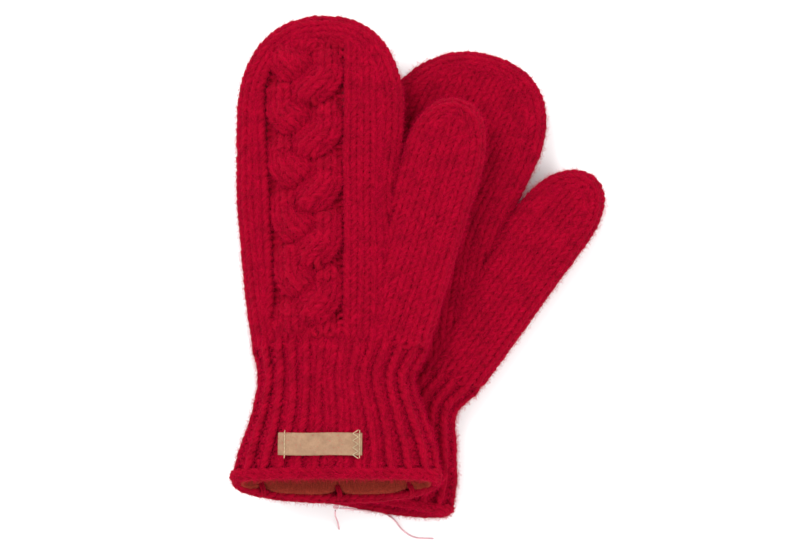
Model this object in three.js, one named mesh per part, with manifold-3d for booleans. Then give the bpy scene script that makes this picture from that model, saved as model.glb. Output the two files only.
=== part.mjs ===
// A pair of cable-knit mittens with fleece linings, laid on a table: the right mitten palm up,
// the left mitten on top of it with its cabled back up. Millimetres, +Z up, fingertips towards +Y.
import * as THREE from "three";
import { mergeVertices } from "three/addons/utils/BufferGeometryUtils.js";
import Module from "manifold-3d";

const wasm = await Module();
wasm.setup();

// ---- Driving dimensions ----
const LENGTH = 275; // cuff rim to fingertip
const TIP_START = 215; // where the fingertip starts to round off
const TIP_ROUND = 2.25; // exponent of the rounded fingertip
// The mitten at stations along its length: y, centre x, half width, thickness.
const STATIONS = [
  [0, 9.5, 57.6, 25],
  [16, 10.2, 54.6, 24],
  [40, 10.2, 48.0, 22.2],
  [67, 8.8, 43.2, 21],
  [90, 10.9, 49.8, 21.8],
  [112, 5.4, 47.7, 22.4],
  [140, 0.8, 46.0, 22.8],
  [170, -2.5, 45.5, 23],
  [205, -1.2, 47.3, 23],
  [240, -0.8, 47.6, 23],
  [LENGTH, -0.8, 47.6, 23],
];
const SECTION_ROUND = 2.6; // exponent of the pillow-shaped cross-section
const RIM_SLANT = 12; // how much further the lower layer of the cuff reaches

const KNIT = 3.6; // wall of the knitted fabric
const FLEECE = 2.2; // wall of the lining
const GAP = 0.35; // between touching pieces
const CUFF_EDGE = 7; // length of the cast-on edge
const CUFF_END = 90; // where the rib ends and the hand begins
const RIBS = 26; // knit ribs around the cuff
const RIB_DEPTH = 0.9;
const LINING_START = 0.6; // the lining is set back from the rim

const THUMB_X = 53.1; // pivot of the thumb, on its centreline
const THUMB_Y = 139.2;
const THUMB_LEAN = 16.7; // degrees from the hand's axis
const THUMB_HALF_WIDTH = 22.5;
const THUMB_THICKNESS = 22;
const THUMB_LENGTH = 88.5; // pivot to thumb tip
const THUMB_TIP_START = 50;
const THUMB_ROOT = -72; // the gusset starts this far behind the pivot
const THUMB_JOINT_RADIUS = 33;
const THUMB_CLOSING = 3; // degrees the thumb can close towards the hand

const CABLE_X = -8; // centre of the cable on the back of the hand
const CABLE_HALF_WIDTH = 20.5;
const CABLE_START = CUFF_END + 3;
const CABLE_END = 262;
const CABLE_HEIGHT = 4.6;
const CABLE_REPEAT = 31; // one crossing to the next on the same side
const CABLE_CROSSING = 244.5; // y of the topmost crossing, on the side away from the thumb
const CABLE_LANE = 0.62; // the outer strands' place, as a share of the half width
// One strand's way through the plait, in repeats: where it steps sideways, which way,
// and whether it goes over (1) or under (-1) another.
const STRAND_STEPS = [[0, 1, 1], [0.4, 1, -1], [1.4, -1, 1], [2, -1, -1], [3, 1, 1]];
const STEP_REACH = 0.22; // half the length of a sideways step, in repeats

const LABEL = { x: 1.2, y: 25.2, width: 46, height: 12.4, thickness: 1.2 };
const LABEL_SEAM_INSET = 4;
const LABEL_GAP = 0.8; // the label bridges the ribs
const TACKS = [-32, 10, 50]; // x of the stitches that hold the lining to the cuff

const FAN_ANGLE = 19.3; // degrees the right mitten is turned clockwise under the left one
const FAN_SHIFT = new THREE.Vector2(4.4, 1.5);
const RIM_SHEAR = 0.14; // the right cuff bends back to run nearly parallel with the left one
const HAND_BEND = { from: 165, span: 110, aside: 8.5, back: 5.5 }; // the right fingertips lean to the thumb
const LIFT = { rim: 1.1, label: 3.3, hand: 3.4 }; // how far the right mitten's parts clear the table
const RAMP_OUTSIDE = 65; // the left mitten starts to rise this far outside the right one's edge
const RAMP_INSIDE = 15;
const CLEARANCE = 2.4; // between the two mittens, past the thicker cast-on edges
const DROOP = 0.55; // share of the right mitten's height that the overhanging part sinks
const ORIGIN = new THREE.Vector3(56.25, 133.4, 0); // centre of the pair's outline, on the table

const KNOT = { x: 9, y: -3.2 }; // yarn knot at the lower edge of the left cuff
const TAIL_RADIUS = 0.45;
// The yarn ends fall from the knot to the table: x, y and height as a share of the knot's.
const TAIL_DROP = [
  [11.2, -3.8, 0.95],
  [19, -4.8, 0.6],
  [27, -6, 0.15],
  [35, -7.2, 0],
  [41, -11, 0],
  [46, -17, 0],
  [53, -21, 0],
  [63.5, -21.6, 0],
];
const SHORT_END = [
  [8.6, -5.2, 0.95],
  [8.2, -8.6, 0.55],
  [8.8, -12, 0.1],
  [9.6, -16.4, 0],
];

// ---- Colours and finishes ----
const finish = (color, roughness) => new THREE.MeshStandardMaterial({ color, roughness, metalness: 0 });
const wool = finish(0xa50a28, 0.95);
const fleece = finish(0xa33a2a, 0.95);
const leather = finish(0xc69a74, 0.7);
const thread = finish(0xd9c39a, 0.8);
const tailYarn = finish(0xd88a92, 0.9);

// ---- Shape of one mitten, in its own frame: palm or back down on z = 0, thumb towards +X ----
const smooth = (low, high, v) => THREE.MathUtils.smoothstep(v, low, high);
const signedPower = (v, p) => Math.sign(v) * Math.abs(v) ** p;

function station(y) {
  const last = STATIONS.length - 1;
  const at = Math.min(Math.max(y, 0), LENGTH);
  let i = 0;
  while (i < last - 1 && at > STATIONS[i + 1][0]) i += 1;
  const row = (k) => STATIONS[Math.min(Math.max(k, 0), last)];
  const [before, from, to, after] = [row(i - 1), row(i), row(i + 1), row(i + 2)];
  const span = to[0] - from[0];
  const u = (at - from[0]) / span;
  const value = (k) => {
    const slopeIn = ((to[k] - before[k]) / (to[0] - before[0])) * span;
    const slopeOut = ((after[k] - from[k]) / (after[0] - from[0])) * span;
    const a = 2 * u ** 3 - 3 * u ** 2 + 1;
    const b = u ** 3 - 2 * u ** 2 + u;
    const c = 3 * u ** 2 - 2 * u ** 3;
    const d = u ** 3 - u ** 2;
    return a * from[k] + b * slopeIn + c * to[k] + d * slopeOut;
  };
  return { centre: value(1), half: value(2), thick: value(3) };
}

function tipTaper(y, start, end) {
  const u = THREE.MathUtils.clamp((y - start) / (end - start), 0, 1);
  return (1 - u ** TIP_ROUND) ** (1 / TIP_ROUND);
}

// How far the slanted rim moves a point towards the fingertips: height runs from 0, below, to 1, on top.
const rimSetback = (y, height) => RIM_SLANT * (1 - (1 - height) ** 3) * (1 - smooth(0, CUFF_END, y));

// A point of the hand's skin, inset from the outside; radius 0 gives the middle of the section.
function handPoint(angle, radius, y, inset) {
  const { centre, half, thick } = station(y);
  const taper = tipTaper(y, TIP_START, LENGTH - inset);
  const across = signedPower(Math.cos(angle), 2 / SECTION_ROUND);
  const up = signedPower(Math.sin(angle), 2 / SECTION_ROUND);
  const x = centre + (half - inset) * taper * across * radius;
  const z = thick / 2 + (thick / 2 - inset) * taper ** 0.8 * up * radius;
  return new THREE.Vector3(x, y + rimSetback(y, z / thick), z);
}

// Height of the hand's upper face over a point.
function handTop(x, y) {
  const { centre, half, thick } = station(y);
  const taper = tipTaper(y, TIP_START, LENGTH);
  const out = Math.min(Math.abs(x - centre) / (half * taper), 1);
  return (thick / 2) * (1 + taper ** 0.8 * (1 - out ** SECTION_ROUND) ** (1 / SECTION_ROUND));
}

const thumbLean = THREE.MathUtils.degToRad(THUMB_LEAN);
const THUMB_AXIS = new THREE.Vector2(Math.sin(thumbLean), Math.cos(thumbLean));

function thumbPoint(angle, radius, along, inset) {
  const taper = tipTaper(along, THUMB_TIP_START, THUMB_LENGTH - inset);
  const halfWidth = (THUMB_HALF_WIDTH - inset) * taper;
  const across = halfWidth * signedPower(Math.cos(angle), 2 / SECTION_ROUND) * radius;
  const up = (THUMB_THICKNESS / 2 - inset) * taper ** 0.8 * signedPower(Math.sin(angle), 2 / SECTION_ROUND);
  return new THREE.Vector3(
    THUMB_X + THUMB_AXIS.x * along + THUMB_AXIS.y * across,
    THUMB_Y + THUMB_AXIS.y * along - THUMB_AXIS.x * across,
    THUMB_THICKNESS / 2 + up * radius,
  );
}

// ---- Solids ----
function solid(geometry) {
  const bare = geometry.clone();
  bare.deleteAttribute("normal");
  bare.deleteAttribute("uv");
  const merged = mergeVertices(bare, 1e-3);
  return new wasm.Manifold(
    new wasm.Mesh({
      numProp: 3,
      vertProperties: merged.attributes.position.array,
      triVerts: new Uint32Array(merged.index.array),
    }),
  );
}

function geometryOf(manifold) {
  const mesh = manifold.getMesh();
  const geometry = new THREE.BufferGeometry();
  const points = new Float32Array(mesh.numVert * 3);
  for (let i = 0; i < mesh.numVert; i += 1) {
    points.set(mesh.vertProperties.subarray(i * mesh.numProp, i * mesh.numProp + 3), i * 3);
  }
  geometry.setAttribute("position", new THREE.BufferAttribute(points, 3));
  geometry.setIndex(new THREE.BufferAttribute(mesh.triVerts, 1));
  return geometry;
}

function mapPoints(geometry, place) {
  const position = geometry.attributes.position;
  const point = new THREE.Vector3();
  for (let i = 0; i < position.count; i += 1) {
    const moved = place(point.fromBufferAttribute(position, i), i);
    position.setXYZ(i, moved.x, moved.y, moved.z);
  }
  return geometry;
}

// A closed tube: place(angle, radius, share) puts a cylinder's points, share running from 0 to 1.
function tube(around, along, place) {
  const geometry = new THREE.CylinderGeometry(1, 1, 1, around, along);
  return mapPoints(geometry, (p) => {
    const radius = Math.hypot(p.x, p.z) > 0.5 ? 1 : 0;
    return place(Math.atan2(p.z, p.x), radius, p.y + 0.5);
  });
}

const easeToTip = (share) => Math.sin((share * Math.PI) / 2) ** 0.75; // closer steps near a tip

// ribs is the number of ribs whose grooves are sunk into the tube, or 0.
const handTube = (around, along, from, to, inset, ribs = 0) =>
  solid(
    tube(around, along, (angle, radius, share) => {
      const inGroove = ribs > 0 && Math.round((angle / Math.PI) * ribs) % 2 !== 0;
      return handPoint(angle, radius, from + (to - from) * share, inset + (inGroove ? RIB_DEPTH : 0));
    }),
  );

const handBag = (around, along, from, inset) =>
  solid(
    tube(around, along, (angle, radius, share) =>
      handPoint(angle, radius, from + (LENGTH - inset - 0.4 - from) * easeToTip(share), inset),
    ),
  );

const thumbBag = (around, along, inset) =>
  solid(
    tube(around, along, (angle, radius, share) => {
      const end = THUMB_LENGTH - inset - 0.3;
      return thumbPoint(angle, radius, THUMB_ROOT + (end - THUMB_ROOT) * easeToTip(share), inset);
    }),
  );

const pivotDisc = (radius) =>
  solid(
    new THREE.CylinderGeometry(radius, radius, 80, 40).rotateX(Math.PI / 2).translate(THUMB_X, THUMB_Y, 10),
  );

// The half of space ahead of the thumb's pivot, towards the thumb tip.
const aheadOfPivot = solid(
  new THREE.BoxGeometry(200, 120, 90)
    .translate(0, 60, 10)
    .rotateZ(-thumbLean)
    .translate(THUMB_X, THUMB_Y, 0),
);
const fromCuffEnd = solid(new THREE.BoxGeometry(300, 300, 90).translate(0, CUFF_END + GAP / 2 + 150, 10));

function turnedAboutPivot(manifold, degrees) {
  return manifold.translate([-THUMB_X, -THUMB_Y, 0]).rotate([0, 0, degrees]).translate([THUMB_X, THUMB_Y, 0]);
}

// A layer of the mitten from one inset to another: { hand, thumb } with the thumb cut free round its pivot
// and kept clear of the hand while it closes.
function layer(from, to, around, along) {
  const thumbAround = Math.round(around * 0.75);
  const thumbAlong = Math.round(along * 0.9);
  const handOuter = handBag(around, along, CUFF_END - 20, from).intersect(fromCuffEnd);
  const handInner = handBag(around, along, CUFF_END - 20, to);
  const thumbOuter = thumbBag(thumbAround, thumbAlong, from).intersect(fromCuffEnd);
  const thumbInner = thumbBag(thumbAround, thumbAlong, to);
  const inner = handInner.add(thumbInner);
  const kept = thumbOuter.subtract(aheadOfPivot).add(thumbOuter.intersect(pivotDisc(THUMB_JOINT_RADIUS)));
  const hand = handOuter.add(kept).subtract(inner);
  let thumb = thumbOuter.intersect(aheadOfPivot).subtract(pivotDisc(THUMB_JOINT_RADIUS + GAP));
  const handClear = handBag(around, along, CUFF_END, -GAP);
  for (let turn = 0; turn <= THUMB_CLOSING + 1; turn += 1) {
    thumb = thumb.subtract(turnedAboutPivot(handClear, -turn));
  }
  const biggest = (made) => made.decompose().sort((a, b) => b.volume() - a.volume())[0];
  return { hand: biggest(hand), thumb: biggest(thumb.subtract(thumbInner)) };
}

// A sheet on the mitten's skin: under(x, y) and over(x, y) are the heights of its two faces.
function sheet(xFrom, xTo, yFrom, yTo, across, along, under, over) {
  const geometry = new THREE.BoxGeometry(1, 1, 1, across, along, 1);
  return mapPoints(geometry, (p) => {
    const x = xFrom + (p.x + 0.5) * (xTo - xFrom);
    const y = yFrom + (p.y + 0.5) * (yTo - yFrom);
    return new THREE.Vector3(x, y, p.z > 0 ? over(x, y) : under(x, y));
  });
}

// A strand of the plait at y: its middle across the cable, from -1 to 1, and its lift, from -1 to 1.
function strandAt(y, strand) {
  const turn = THREE.MathUtils.euclideanModulo((CABLE_CROSSING - y) / CABLE_REPEAT + strand, 3);
  let middle = -1;
  let lift = 0;
  for (const [at, step, over] of STRAND_STEPS) {
    const share = smooth(at - STEP_REACH, at + STEP_REACH, turn);
    middle += step * share;
    lift += over * 4 * share * (1 - share);
  }
  return { middle, lift };
}

// Height of the plait over the fabric: three strands that weave over and under each other.
function cableHeight(x, y) {
  const across = (x - CABLE_X) / CABLE_HALF_WIDTH;
  let height = 0.25;
  for (let strand = 0; strand < 3; strand += 1) {
    const { middle, lift } = strandAt(y, strand);
    const away = Math.abs(across - middle * CABLE_LANE) / 0.4;
    height = Math.max(height, (0.75 + 0.25 * lift) * Math.sqrt(Math.max(0, 1 - away * away)));
  }
  return height * CABLE_HEIGHT;
}

// ---- Where each mitten lies ----
const fan = THREE.MathUtils.degToRad(FAN_ANGLE);
function lowerLift(y) {
  const toLabel = (LIFT.label - LIFT.rim) * smooth(CUFF_EDGE, LABEL.y, y);
  const toHand = (LIFT.hand - LIFT.label) * smooth(LABEL.y + LABEL.height, CUFF_END, y);
  return LIFT.rim + toLabel + toHand;
}

const cuffBend = (x, y) => RIM_SHEAR * (x - station(y).centre) * (1 - smooth(0, CUFF_END, y));

// The right mitten lies on its cabled back, which holds the hand up; its cuff sags to the table.
function layRight(p) {
  const z = p.z + lowerLift(p.y);
  const bent = (Math.max(p.y - HAND_BEND.from, 0) / HAND_BEND.span) ** 2;
  const across = p.x + HAND_BEND.aside * bent;
  const along = p.y + cuffBend(p.x, p.y) - HAND_BEND.back * bent;
  const x = across * Math.cos(fan) + along * Math.sin(fan) + FAN_SHIFT.x;
  const y = along * Math.cos(fan) - across * Math.sin(fan) + FAN_SHIFT.y;
  return new THREE.Vector3(x, y, z).sub(ORIGIN);
}

// The left mitten lies over the right one and droops where nothing holds it up.
function restHeight(x, y) {
  const dx = x - FAN_SHIFT.x;
  const dy = y - FAN_SHIFT.y;
  const alongRight = dx * Math.sin(fan) + dy * Math.cos(fan);
  const acrossRight = dx * Math.cos(fan) - dy * Math.sin(fan);
  const { centre, half, thick } = station(alongRight);
  const inside = acrossRight - (centre - half);
  const ramp = smooth(-RAMP_OUTSIDE, RAMP_INSIDE, inside);
  return (thick + lowerLift(alongRight) + CLEARANCE) * (1 - DROOP + DROOP * ramp);
}

const layLeft = (p) => new THREE.Vector3(p.x, p.y, p.z + restHeight(p.x, p.y)).sub(ORIGIN);

// ---- The pair ----
const pair = new THREE.Group();

function addPiece(name, geometry, material, lay) {
  const mesh = new THREE.Mesh(mapPoints(geometry, (p) => lay(p)), material);
  mesh.name = name;
  pair.add(mesh);
}

const knitLayer = layer(0, KNIT, 24, 10);
const liningLayer = layer(KNIT + GAP, KNIT + GAP + FLEECE, 24, 10);
const liningInset = KNIT + GAP;
const voidInset = KNIT + GAP + FLEECE;

const cuffEdge = handTube(RIBS, 2, 0, CUFF_EDGE, -0.8).subtract(handTube(RIBS, 1, -3, CUFF_EDGE + 3, KNIT));
const cuffRib = handTube(RIBS * 2, 5, CUFF_EDGE + GAP, CUFF_END - GAP / 2, 0, RIBS).subtract(
  handTube(RIBS, 5, CUFF_EDGE - 2, CUFF_END + 2, KNIT),
);
const cuffLining = handTube(RIBS, 5, LINING_START, CUFF_END - GAP / 2, liningInset + 0.6).subtract(
  handTube(RIBS, 5, LINING_START - 2, CUFF_END + 2, voidInset),
);

// The cable stands on the back of the hand: on top of the left mitten, under the right one.
const cableSheet = (under, over) =>
  sheet(CABLE_X - CABLE_HALF_WIDTH, CABLE_X + CABLE_HALF_WIDTH, CABLE_START, CABLE_END, 8, 22, under, over);
const cableUp = () =>
  cableSheet(
    (x, y) => handTop(x, y) + GAP,
    (x, y) => handTop(x, y) + GAP + cableHeight(x, y),
  );
const cableDown = () =>
  cableSheet(
    (x, y) => Math.max(station(y).thick - handTop(x, y) - GAP - cableHeight(x, y), -lowerLift(y)),
    (x, y) => station(y).thick - handTop(x, y) - GAP,
  );

// The faces of the mitten that a label is sewn to: height over a point, and which way is out.
const upperFace = { height: (x, y) => handTop(x, y - rimSetback(y, 1)), out: 1 };
const lowerFace = { height: (x, y) => station(y).thick - handTop(x, y), out: -1 };

// A flat piece sewn on a face of the mitten, between two distances from the knit.
function patch(face, x, y, width, height, low, high, across, along) {
  const near = (px, py) => face.height(px, py) + face.out * low;
  const far = (px, py) => face.height(px, py) + face.out * high;
  const [under, over] = face.out > 0 ? [near, far] : [far, near];
  return sheet(x - width / 2, x + width / 2, y, y + height, across, along, under, over);
}

const labelPatch = (face) =>
  patch(face, LABEL.x, LABEL.y, LABEL.width, LABEL.height, LABEL_GAP, LABEL_GAP + LABEL.thickness, 6, 2);

function seamPatch(face, side) {
  const low = LABEL_GAP + LABEL.thickness + GAP;
  const x = LABEL.x + side * (LABEL.width / 2 - LABEL_SEAM_INSET);
  return patch(face, x, LABEL.y - 2, 1.2, LABEL.height + 4, low, low + 0.7, 1, 6);
}

// A short stitch that holds the lining's edge to the lower layer of the rim.
function tack(x) {
  const thick = station(0).thick;
  const z = thick - handTop(x, 0) + KNIT + 1.2;
  const y = LINING_START - 2.9 + rimSetback(0, z / thick);
  return new THREE.CapsuleGeometry(0.9, 3, 3, 8).translate(x, y, z);
}

function addMitten(side, lay, backUp) {
  addPiece(`${side}_cuff_edge`, geometryOf(cuffEdge), wool, lay);
  addPiece(`${side}_cuff_rib`, geometryOf(cuffRib), wool, lay);
  addPiece(`${side}_hand_shell`, geometryOf(knitLayer.hand), wool, lay);
  addPiece(`${side}_thumb_shell`, geometryOf(knitLayer.thumb), wool, lay);
  addPiece(`${side}_cable_plait`, backUp ? cableUp() : cableDown(), wool, lay);
  addPiece(`${side}_cuff_lining`, geometryOf(cuffLining), fleece, lay);
  addPiece(`${side}_hand_lining`, geometryOf(liningLayer.hand), fleece, lay);
  addPiece(`${side}_thumb_lining`, geometryOf(liningLayer.thumb), fleece, lay);
  const face = backUp ? upperFace : lowerFace;
  addPiece(`${side}_label`, labelPatch(face), leather, lay);
  addPiece(`${side}_label_stitch_outer`, seamPatch(face, -1), thread, lay);
  addPiece(`${side}_label_stitch_inner`, seamPatch(face, 1), thread, lay);
  TACKS.forEach((x, i) => addPiece(`${side}_lining_tack_${i + 1}`, tack(x), wool, lay));
}

// A round yarn through a few points, closed at both ends.
function yarn(points, radius, steps) {
  const path = new THREE.CatmullRomCurve3(points.map((p) => new THREE.Vector3(...p)));
  const up = new THREE.Vector3(0, 0, 1);
  return tube(6, steps, (angle, reach, share) => {
    const point = path.getPointAt(THREE.MathUtils.clamp(share, 0, 1));
    const side = path.getTangentAt(THREE.MathUtils.clamp(share, 0, 1)).cross(up).normalize();
    return point
      .addScaledVector(side, Math.cos(angle) * radius * reach)
      .addScaledVector(up, Math.sin(angle) * radius * reach);
  });
}

addMitten("right", layRight, false);
addMitten("left", layLeft, true);

const asLaid = (p) => p.clone().sub(ORIGIN);
const knotHeight = restHeight(KNOT.x, 0) + 1.5;
const knot = new THREE.SphereGeometry(1.9, 8, 6).translate(KNOT.x, KNOT.y, knotHeight);
addPiece("left_tail_knot", knot, tailYarn, asLaid);
const tailPath = TAIL_DROP.map(([x, y, height]) => [x, y, height * knotHeight + TAIL_RADIUS + 0.3]);
addPiece("left_yarn_tail", yarn(tailPath, TAIL_RADIUS, 28), tailYarn, asLaid);
const endPath = SHORT_END.map(([x, y, height]) => [x, y, height * knotHeight + TAIL_RADIUS + 0.3]);
addPiece("left_short_end", yarn(endPath, TAIL_RADIUS, 8), tailYarn, asLaid);

export default pair;
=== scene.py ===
import math

import bpy
import numpy as np
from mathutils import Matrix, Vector


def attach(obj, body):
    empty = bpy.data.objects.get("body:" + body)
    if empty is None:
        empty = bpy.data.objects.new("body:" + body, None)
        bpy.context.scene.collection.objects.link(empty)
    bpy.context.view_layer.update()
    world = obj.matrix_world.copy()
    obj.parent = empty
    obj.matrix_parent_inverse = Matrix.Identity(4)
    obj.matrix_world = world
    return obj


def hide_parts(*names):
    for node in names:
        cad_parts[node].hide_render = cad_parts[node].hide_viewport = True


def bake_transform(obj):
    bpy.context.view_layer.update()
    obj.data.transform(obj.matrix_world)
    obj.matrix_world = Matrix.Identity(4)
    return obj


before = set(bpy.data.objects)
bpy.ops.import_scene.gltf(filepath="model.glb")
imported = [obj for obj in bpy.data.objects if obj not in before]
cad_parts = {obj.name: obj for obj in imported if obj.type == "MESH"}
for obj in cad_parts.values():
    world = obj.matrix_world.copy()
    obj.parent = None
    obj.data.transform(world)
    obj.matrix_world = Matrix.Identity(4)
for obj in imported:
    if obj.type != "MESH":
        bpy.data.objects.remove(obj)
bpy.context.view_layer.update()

# ---- Camera: almost straight above, 1.1 m away ----
CAMERA_DISTANCE = 1.1
CAMERA_ELEVATION = math.radians(84)
camera_data = bpy.data.cameras.new("camera")
camera_data.lens = 85.6
camera_data.shift_x = -21 / 800
camera_data.shift_y = -6 / 800
camera = bpy.data.objects.new("camera", camera_data)
bpy.context.scene.collection.objects.link(camera)
away = Vector((0, -math.cos(CAMERA_ELEVATION), math.sin(CAMERA_ELEVATION)))
camera.location = away * CAMERA_DISTANCE
camera.rotation_mode = "QUATERNION"
camera.rotation_quaternion = (-away).to_track_quat("-Z", "Y")
bpy.context.scene.camera = camera

# ---- The mittens' shape, as in the CAD part. Millimetres; thumb towards +X, fingertips towards +Y ----
LENGTH = 275.0
TIP_START = 215.0
TIP_ROUND = 2.25
STATIONS = np.array([
    (0, 9.5, 57.6, 25),
    (16, 10.2, 54.6, 24),
    (40, 10.2, 48.0, 22.2),
    (67, 8.8, 43.2, 21),
    (90, 10.9, 49.8, 21.8),
    (112, 5.4, 47.7, 22.4),
    (140, 0.8, 46.0, 22.8),
    (170, -2.5, 45.5, 23),
    (205, -1.2, 47.3, 23),
    (240, -0.8, 47.6, 23),
    (LENGTH, -0.8, 47.6, 23),
])  # y, centre x, half width, thickness
SECTION_ROUND = 2.6
RIM_SLANT = 12.0
CUFF_END = 90.0

THUMB_X, THUMB_Y = 53.1, 139.2
THUMB_LEAN = math.radians(16.7)
THUMB_HALF_WIDTH = 22.5
THUMB_THICKNESS = 22.0
THUMB_LENGTH = 88.5
THUMB_TIP_START = 50.0
THUMB_ROOT = -72.0
THUMB_JOINT_RADIUS = 33.0

CABLE_X = -9.4  # the cable's middle near the fingertips
CABLE_DRIFT = 3.2  # how far it drifts towards the thumb at the wrist
CABLE_START = 93.0
CABLE_END = 262.0
CABLE_NARROW, CABLE_BROAD = 110.0, 230.0  # narrow before the first of these, broad after the second

FAN = math.radians(19.3)
FAN_SHIFT = (4.4, 1.5)
RIM_SHEAR = 0.14
BEND_FROM, BEND_SPAN, BEND_ASIDE, BEND_BACK = 165.0, 110.0, 8.5, 5.5
LIFT_RIM, LIFT_LABEL, LIFT_HAND = 1.1, 3.3, 3.4
LABEL_Y, LABEL_X, LABEL_WIDTH, LABEL_HEIGHT = 25.2, 1.2, 46.0, 12.4
RAMP_OUTSIDE, RAMP_INSIDE, DROOP, CLEARANCE = 65.0, 15.0, 0.55, 2.4
ORIGIN = np.array([56.25, 133.4, 0.0])

# ---- The yarn ----
WALE = 7.07  # width of a knit column
ROW = 4.1  # height of a row
YARN = 1.9  # radius of the yarn
PURL_YARN = 1.6  # radius of the yarn in the sunk columns and the rim, where it is drawn tighter
DEPTH = 0.9  # how far a loop goes in and out of the fabric's middle
SPREAD = 0.245  # how far a loop's legs lean, as a share of the column's width
FABRIC = 2.6  # from the fabric's middle to its face
SWELL = 1.06  # half a loop's height in rows, so that each loop reaches into its neighbours
HAND_WALES, THUMB_WALES, EDGE_WALES = 10, 3, 2  # columns in the middle of a plain face and along its edge
RIBS = 26
RIB_WALE = 6.3
RIB_SWAY, HAND_SWAY = 0.45, 0.3  # how far the ribs and the plain columns wander sideways
RIBS_START, RIBS_END = 5.0, CUFF_END + 3
# The rim's two chains: y on the lower layer and on the upper one, inset and lean.
RIM_CHAINS = ((-0.6, 4.4, 1.6, 0.4), (-0.8, 3.8, 2.6, 1.2))
BACKING = 3.6  # how deep the backing fabric lies
THUMB_BACKING_START, THUMB_FLEECE_START = -48.0, -40.0

# ---- The plait: three strands of three columns ----
PLAIT_REPEAT = 31.0  # from one crossing to the next on the same side
PLAIT_CROSSING = 244.5  # y of the topmost crossing, on the side away from the thumb
# One strand's way, in repeats: where it steps sideways, which way, and over (1) or under (-1).
STRAND_STEPS = ((0.0, 1, 1), (0.4, 1, -1), (1.4, -1, 1), (2.0, -1, -1), (3.0, 1, 1))
STEP_REACH = 0.24  # half the length of a sideways step, in repeats
DIVE = (-0.42, -0.22, 0.3, 0.47)  # under another strand: starts down, is down, starts up, is up; in repeats
LANE_NARROW, LANE_WIDE = 8.8, 11.6  # the outer strands' distance from the middle, at the wrist and the tip
PLAIT_WALE = 7.0
PLAIT_PITCH = PLAIT_WALE * 0.94
PLAIT_BED = 23.0  # half width of the purl ground that the plait lies on
OVER, UNDER = 2.8, 3.6  # how far a strand rises over another and sinks under it
PLAIT_HOLLOW = 3.0  # how much deeper the ground lies under the plait

LINING_START = {"left": -0.6, "right": 6.0}  # from the rim to the fleece
LINING_BEHIND = 6.0  # how much deeper the fleece starts under the upper layer
LINING_INSET = 4.4
LINING_CORDS = 150  # fine ribs of the fleece, round the cuff
# The lining's edge, from behind its fold to deep inside: distance from the fold and from the knit.
LINING_PROFILE = ((7, -0.6), (3, -0.5), (1, -0.2), (0.1, 0.4), (0.0, 1.0), (0.6, 1.6), (2, 1.9), (5, 2.0),
                  (10, 1.8), (18, 1.4), (30, 1.2), (45, 1.2), (60, 1.2), (78, 3.4))
FLEECE_INSET = 8.0  # how deep the fleece lies in the hand and the thumb
TACKS = (-32.0, 10.0, 50.0)
# How far the upper layer of the cuff is pressed out over the lower one.
RIM_REACH = {"left": 0.0, "right": 9.0}
LABEL_THICK, LABEL_GAP = 1.2, 1.1
SEAM_INSET = 3.6
SEAM_LOW, SEAM_HIGH = LABEL_Y - 1.6, LABEL_Y + LABEL_HEIGHT + 1.4
SEAM_THREAD = 0.24

rng = np.random.default_rng(7)


def smooth(low, high, v):
    t = np.clip((v - low) / (high - low), 0.0, 1.0)
    return t * t * (3 - 2 * t)


def signed_power(v, p):
    return np.sign(v) * np.abs(v) ** p


def station(y):
    """Centre, half width and thickness of the mitten at y."""
    y = np.clip(np.asarray(y, float), 0.0, LENGTH)
    last = len(STATIONS) - 1
    i = np.clip(np.searchsorted(STATIONS[:, 0], y, side="left") - 1, 0, last - 1)
    before = STATIONS[np.maximum(i - 1, 0)]
    start = STATIONS[i]
    stop = STATIONS[i + 1]
    after = STATIONS[np.minimum(i + 2, last)]
    span = (stop - start)[..., 0]
    u = (y - start[..., 0]) / span
    a = 2 * u**3 - 3 * u**2 + 1
    b = u**3 - 2 * u**2 + u
    c = 3 * u**2 - 2 * u**3
    d = u**3 - u**2
    values = []
    for k in (1, 2, 3):
        slope_in = (stop - before)[..., k] / (stop - before)[..., 0] * span
        slope_out = (after - start)[..., k] / (after - start)[..., 0] * span
        values.append(a * start[..., k] + b * slope_in + c * stop[..., k] + d * slope_out)
    return values


def lower_lift(y):
    to_label = (LIFT_LABEL - LIFT_RIM) * smooth(7, LABEL_Y, y)
    to_hand = (LIFT_HAND - LIFT_LABEL) * smooth(LABEL_Y + LABEL_HEIGHT, CUFF_END, y)
    return LIFT_RIM + to_label + to_hand


def lay_right(p):
    """From the mitten's own frame to the right mitten's place on the table."""
    x, y, z = p[..., 0], p[..., 1], p[..., 2]
    bent = (np.maximum(y - BEND_FROM, 0) / BEND_SPAN) ** 2
    shear = RIM_SHEAR * (x - station(y)[0]) * (1 - smooth(0, CUFF_END, y))
    across = x + BEND_ASIDE * bent
    along = y + shear - BEND_BACK * bent
    placed = np.stack([
        across * math.cos(FAN) + along * math.sin(FAN) + FAN_SHIFT[0],
        along * math.cos(FAN) - across * math.sin(FAN) + FAN_SHIFT[1],
        z + lower_lift(y),
    ], -1)
    return placed - ORIGIN


def rest_height(x, y):
    """Height at which the left mitten lies over the right one and droops beside it."""
    dx, dy = x - FAN_SHIFT[0], y - FAN_SHIFT[1]
    along = dx * math.sin(FAN) + dy * math.cos(FAN)
    across = dx * math.cos(FAN) - dy * math.sin(FAN)
    centre, half, thick = station(along)
    ramp = smooth(-RAMP_OUTSIDE, RAMP_INSIDE, across - (centre - half))
    return (thick + lower_lift(along) + CLEARANCE) * (1 - DROOP + DROOP * ramp)


def lay_left(p):
    placed = p.copy()
    placed[..., 2] += rest_height(p[..., 0], p[..., 1])
    return placed - ORIGIN


LAY = {"left": lay_left, "right": lay_right}


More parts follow.
